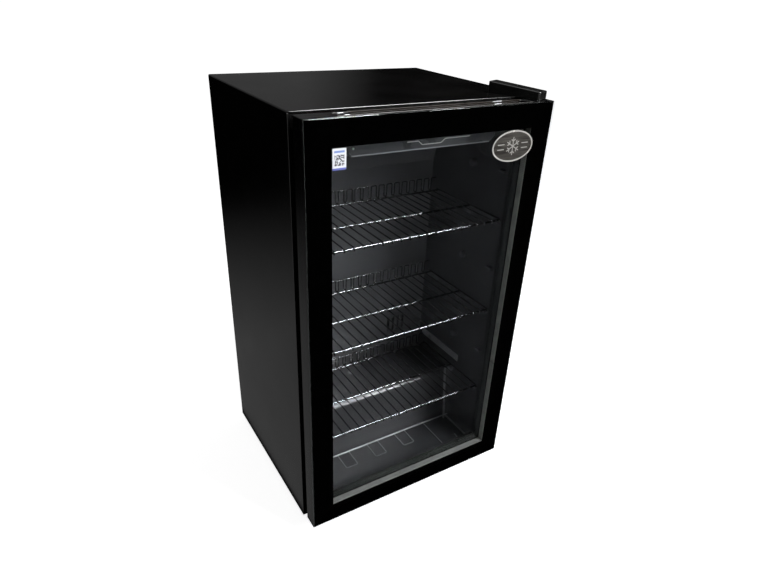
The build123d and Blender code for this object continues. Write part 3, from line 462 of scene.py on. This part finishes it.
def slab(bm, low, high, bevel):
    """Box with rounded edges."""
    made = bmesh.ops.create_cube(bm, size=1.0)["verts"]
    size = [b - a for a, b in zip(low, high)]
    centre = [(a + b) / 2 for a, b in zip(low, high)]
    for vert in made:
        vert.co = Vector(c + v * s for c, v, s in zip(centre, vert.co, size))
    edges = {e for v in made for e in v.link_edges}
    bmesh.ops.bevel(bm, geom=list(edges), offset=bevel, segments=3, profile=0.5,
                    affect="EDGES")


def ribbon(bm, points, width, front, proud):
    """Raised stroke along (x, z) points on a plane that faces -Y, with pointed ends."""
    for start, end in zip(points, points[1:]):
        along = (Vector(end) - Vector(start)).normalized()
        across = Vector((-along.y, along.x)) * width / 2
        tip = along * width / 2
        a, b = Vector(start), Vector(end)
        outline = [a - tip, a + across, b + across, b + tip, b - across, a - across]
        rear = [bm.verts.new((p.x, front, p.y)) for p in outline]
        top = [bm.verts.new((p.x, front - proud, p.y)) for p in outline]
        bm.faces.new(top)
        bm.faces.new(rear[::-1])
        for k in range(len(outline)):
            n = (k + 1) % len(outline)
            bm.faces.new((rear[k], rear[n], top[n], top[k]))
    bmesh.ops.recalc_face_normals(bm, faces=bm.faces)


def emblem(bm):
    """Plain six-armed snowflake between two pairs of short bars."""
    low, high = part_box("badge_face")
    x, z, front = (low.x + high.x) / 2, (low.z + high.z) / 2, low.y
    arm, twig, stroke = 15 * MM, 5 * MM, 1.7 * MM

    def spot(radius, angle):
        return x + radius * math.cos(angle), z + radius * math.sin(angle)

    for k in range(6):
        angle = math.radians(60 * k + 30)
        ribbon(bm, [(x, z), spot(arm, angle)], stroke, front, 0.2 * MM)
        root = Vector(spot(arm * 0.58, angle))
        for lean in (-1, 1):
            turn = angle + lean * math.radians(55)
            end = root + twig * Vector((math.cos(turn), math.sin(turn)))
            ribbon(bm, [root, end], stroke, front, 0.2 * MM)
    for way in (-1, 1):
        for lift in (-4.2 * MM, 4.2 * MM):
            inner, outer = x + way * 20 * MM, x + way * 34 * MM
            ribbon(bm, [(inner, z + lift), (outer, z + lift)], 1.5 * MM, front, 0.2 * MM)


def strip_line(bm):
    """Thin raised line along the lamp housing with one shallow dip in the middle."""
    low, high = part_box("light_box")
    rise, dip = high.z - 26.5 * MM, high.z - 33 * MM
    start, stop = low.x + 114 * MM, low.x + 245 * MM
    points = [(start, rise), (start + 22 * MM, rise), (start + 30 * MM, dip),
              (start + 69 * MM, dip), (start + 78 * MM, rise), (stop, rise)]
    ribbon(bm, points, 1.3 * MM, low.y, 0.3 * MM)


def spacer_joint(bm):
    """Corner key line where the spacer's two lengths meet on the right."""
    low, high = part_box("spacer_bar")
    inside = high.x - 14 * MM
    z = 291 * MM
    slab(bm, (inside - 0.25 * MM, low.y, z), (inside + 1 * MM, high.y, z + 1.1 * MM), 0.1 * MM)


def wall_rib(side_sign):
    """Shallow moulded bar on a side wall of the liner, above the lowest shelf."""
    def build(bm):
        left, right = sorted((WALL * side_sign, (WALL - 0.9 * MM) * side_sign))
        slab(bm, (left, -88 * MM, 214 * MM), (right, 64 * MM, 232 * MM), 0.4 * MM)
    return build


def wrap_fold(bm):
    """Rounded fold where the steel wrap turns in round the cabinet's front."""
    low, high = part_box("outer_wrap")
    out, deep, round_off = 0.25 * MM, 1.1 * MM, 0.5 * MM
    front, rear = low.y - out, low.y + deep
    slab(bm, (low.x + 2 * MM, front, high.z - deep), (high.x - 2 * MM, rear, high.z + out),
         round_off)
    for inner, outer in ((low.x + deep, low.x - out), (high.x - deep, high.x + out)):
        near, far = sorted((inner, outer))
        slab(bm, (near, front, low.z + 2 * MM), (far, rear, high.z - 2 * MM), round_off)


def grip_ridges(bm):
    """Fine ridges along the back wall and the lip of the door's finger grip."""
    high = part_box("top_rail")[1]
    x0, x1 = -150 * MM, 182 * MM
    for k in range(3):
        z = high.z - (3.0 + 2.6 * k) * MM
        slab(bm, (x0, GRIP_BACK - 0.7 * MM, z - 0.8 * MM),
             (x1, GRIP_BACK + 0.3 * MM, z + 0.8 * MM), 0.35 * MM)
    slab(bm, (x0 - 4 * MM, GRIP_BACK - 0.25 * MM, high.z - 1.8 * MM),
         (x1 + 4 * MM, high.y - 1.2 * MM, high.z + 0.6 * MM), 0.5 * MM)


def grip_trim(bm):
    """Narrow raised edge round the finger grip, a little longer than the grip itself."""
    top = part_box("top_rail")[1].z
    x0, x1, y0, y1 = -183 * MM, 193 * MM, -217 * MM, GRIP_BACK - 0.4 * MM
    wide = 1.3 * MM
    low, high = top - 0.2 * MM, top + 0.5 * MM
    for a, b in (((x0, y0), (x1, y0 + wide)), ((x0, y1 - wide), (x0 + 32 * MM, y1)),
                 ((x0, y0 + wide), (x0 + wide, y1 - wide)),
                 ((x1 - wide, y0 + wide), (x1, y1 - wide))):
        slab(bm, (*a, low), (*b, high), 0.25 * MM)


def grip_glints(bm):
    """Four small bright metal slabs beside the grip that stand in as painted glints: left end and
    near edge, length along X.
    """
    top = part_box("top_rail")[1].z
    wide = 2.4
    for x, y, long in ((-174, -197.0, 10), (-170, -213.5, 8), (122, -194.8, 20),
                       (110, -214.0, 14)):
        slab(bm, (x * MM, y * MM, top - 0.1 * MM),
             ((x + long) * MM, (y + wide) * MM, top + 0.7 * MM), 0.3 * MM)


mesh_object("badge_emblem", emblem, MATERIALS["badge_silver"], "door")
mesh_object("light_box_line", strip_line, MATERIALS["led_board"], "cabinet")
mesh_object("spacer_joint", spacer_joint, MATERIALS["gasket_rubber"], "door")
# painted highlight: the fold's paint is about ten times paler than the cabinet's black (0.012
# against 0.001), so it shows as a light line
mesh_object("wrap_fold", wrap_fold,
            plastic("fold_highlight_paint", (0.012, 0.012, 0.012), 0.16, bump=0.05, Specular_IOR_Level=1.0),
            "cabinet")
# painted reflection: the ridges and lip slab are paler and browner than the grip's black (0.014,
# 0.011, 0.009 against 0.003), with strong patches, standing in for the sheen in the channel
mesh_object("grip_ridges", grip_ridges,
            plastic("grip_painted_sheen", (0.014, 0.011, 0.009), 0.30, grain=500.0, bump=0.1, patch=0.4,
                    Specular_IOR_Level=0.12),
            "door")
# painted highlight: the trim is a grey (0.035) about ten times paler than the grip's black, so
# its edges show as light lines
mesh_object("grip_trim", grip_trim, plastic("grip_trim", (0.035, 0.033, 0.03), 0.2, bump=0.05),
            "door")
mesh_object("grip_glints", grip_glints, MATERIALS["zinc_steel"], "door")
# painted highlight: the ribs are the liner's plastic made three times paler (0.30), standing in
# for the sheen along them
for name, sign in (("wall_rib_right", 1), ("wall_rib_left", -1)):
    mesh_object(name, wall_rib(sign), plastic(name, (0.30, 0.30, 0.31), 0.3), "cabinet")


# ---- stage --------------------------------------------------------------------------------
def quad(name, corners, material):
    """One flat four-cornered sheet that belongs to the studio, not to the object."""
    mesh = bpy.data.meshes.new(name)
    mesh.from_pydata(corners, [], [(0, 1, 2, 3)])
    mesh.materials.append(material)
    card = bpy.data.objects.new(name, mesh)
    bpy.context.scene.collection.objects.link(card)
    return card


def floor():
    """Pale matt floor that is kept white to the eye, and out of reflections."""
    s = Shader("floor")
    tone = s.ramp(s.noise(2.0, 2.0), (0.90, 0.90, 0.90), (0.93, 0.93, 0.93))
    paint = s.surface(tone, 0.9, Specular_IOR_Level=0.0, Emission_Color=(1, 1, 1, 1))
    seen = s.add("LightPath").outputs["Is Camera Ray"]
    s.link(s.math("MULTIPLY", seen, 0.85), paint.inputs["Emission Strength"])
    reach = 12
    sheet = quad("floor", [(-reach, -reach, 0), (reach, -reach, 0), (reach, reach, 0),
                           (-reach, reach, 0)], s.material)
    sheet.visible_glossy = False


def card(name, corners, axis, bright, dark, strength, power=1.0):
    """A glowing card that shows only in reflections, fading along one axis."""
    s = Shader(name)
    glow = s.add("Emission")
    fade = s.math("POWER", s.spread(s.axis(axis), 1.0, 0.0, bright, dark), power)
    s.link(s.math("MULTIPLY", fade, strength), glow.inputs["Strength"])
    s.link(glow.outputs[0], s.out.inputs[0])
    sheet = quad(name, corners, s.material)
    sheet.visible_camera = False
    sheet.visible_diffuse = False
    sheet.visible_shadow = False
    sheet.visible_transmission = False


def flat_card(name, x0, x1, y0, y1, z, **fade):
    card(name, [(x0, y0, z), (x1, y0, z), (x1, y1, z), (x0, y1, z)], **fade)


def wall_card(name, x0, x1, y, z0, z1, **fade):
    card(name, [(x0, y, z0), (x1, y, z0), (x1, y, z1), (x0, y, z1)], **fade)


def facing_card(name, place, aim, width, height, strength):
    """A glowing card turned towards a point."""
    toward = (aim - place).normalized()
    across = toward.cross(Vector((0, 0, 1))).normalized() * width / 2
    upward = across.cross(toward).normalized() * height / 2
    corners = [place - across - upward, place + across - upward, place + across + upward,
               place - across + upward]
    card(name, corners, axis="Z", bright=0.0, dark=9.0, strength=strength)


def world():
    """White to the eye, dim to matt surfaces; mirrors see soft light overhead and at the left."""
    sky = bpy.data.worlds.new("studio")
    bpy.context.scene.world = sky
    sky.use_nodes = True
    tree = sky.node_tree
    tree.nodes.clear()

    def add(kind, **values):
        node = tree.nodes.new("ShaderNode" + kind)
        for key, value in values.items():
            node.inputs[key.replace("_", " ")].default_value = value
        return node

    def ramp(source, start, end, most):
        """Rises from nothing at start to most at end."""
        node = add("MapRange", From_Min=start, From_Max=end, To_Min=0.0, To_Max=most)
        tree.links.new(source, node.inputs["Value"])
        return node.outputs[0]

    def combine(operation, first, second):
        node = add("Math")
        node.operation = operation
        tree.links.new(first, node.inputs[0])
        tree.links.new(second, node.inputs[1])
        return node.outputs[0]

    out, path, place = add("OutputWorld"), add("LightPath"), add("TexCoord")
    split = add("SeparateXYZ")
    tree.links.new(place.outputs["Generated"], split.inputs[0])
    x, y, z = split.outputs
    overhead = ramp(z, 0.62, 0.88, 2.6)
    left_front = combine("MULTIPLY", ramp(x, -0.3, -0.6, 0.8), ramp(y, -0.15, -0.4, 1.0))
    mirrored = combine("ADD", overhead, left_front)
    seen = add("Mix", A=0.26, B=1.3)
    tree.links.new(path.outputs["Is Camera Ray"], seen.inputs[0])
    strength = add("Mix")
    tree.links.new(path.outputs["Is Glossy Ray"], strength.inputs[0])
    tree.links.new(seen.outputs[0], strength.inputs[2])
    tree.links.new(mirrored, strength.inputs[3])
    light = add("Background")
    tree.links.new(strength.outputs[0], light.inputs[1])
    tree.links.new(light.outputs[0], out.inputs[0])


def area_light(name, place, target, size, power):
    """A soft lamp turned towards a point, out of reflections."""
    data = bpy.data.lights.new(name, "AREA")
    data.shape = "RECTANGLE"
    data.size, data.size_y = size
    data.energy = power
    lamp = bpy.data.objects.new(name, data)
    lamp.location = place
    lamp.rotation_euler = (Vector(target) - Vector(place)).to_track_quat("-Z", "Y").to_euler()
    lamp.visible_glossy = False
    bpy.context.scene.collection.objects.link(lamp)


def camera():
    """The camera of the photograph: its place, direction and roll, solved from straight edges."""
    azimuth, elevation, roll = (math.radians(a) for a in (33.03, 29.21, 2.89))
    ahead = Vector((math.sin(azimuth) * math.cos(elevation),
                    math.cos(azimuth) * math.cos(elevation), -math.sin(elevation)))
    right = Vector((math.cos(azimuth), -math.sin(azimuth), 0))
    up = right.cross(ahead)
    across = math.cos(roll) * right + math.sin(roll) * up
    upright = -math.sin(roll) * right + math.cos(roll) * up
    data = bpy.data.cameras.new("camera")
    data.lens = 27.56
    data.shift_x, data.shift_y = -0.0137, 0.0317
    data.clip_start = 0.02
    eye = bpy.data.objects.new("camera", data)
    place = Vector((-0.572, -0.9762, 1.003))
    turn = Matrix((across, upright, -ahead)).transposed().to_4x4()
    eye.matrix_world = Matrix.Translation(place) @ turn
    bpy.context.scene.collection.objects.link(eye)
    bpy.context.scene.camera = eye


floor()
world()
camera()
side = CAD_HIGH.x
back = CAD_HIGH.y
GROUND_GLOW = 0.155
flat_card("card_left", -1.6, -side - 0.01, -0.22, 2.1, 0.002, axis="Y", bright=0.55, dark=2.0,
          strength=GROUND_GLOW, power=1.6)
flat_card("card_right", side + 0.01, 1.6, -0.22, 2.1, 0.002, axis="Y", bright=0.55, dark=2.0,
          strength=GROUND_GLOW, power=1.6)
flat_card("card_back", -side, side, back + 0.01, 1.5, 0.003, axis="Y", bright=0.6, dark=1.2,
          strength=GROUND_GLOW)
wall_card("card_top", -1.5, 2.2, 2.2, 0.9, 2.2, axis="X", bright=0.85, dark=1.32, strength=0.10)
AIM = Vector((0, 0.1, 0.25))
LAMP = Vector((1.05, -1.55, 1.65))
WIDE_CARD, BRIGHT_CARD = Vector((1.15, -1.25, 1.9)), Vector((0.66, -1.22, 1.80))
area_light("key", LAMP, AIM, (1.1, 1.5), 60)
facing_card("card_key", WIDE_CARD, AIM, 1.1, 1.5, 14.0)
facing_card("card_bright", BRIGHT_CARD, AIM, 0.8, 1.8, 34.0)
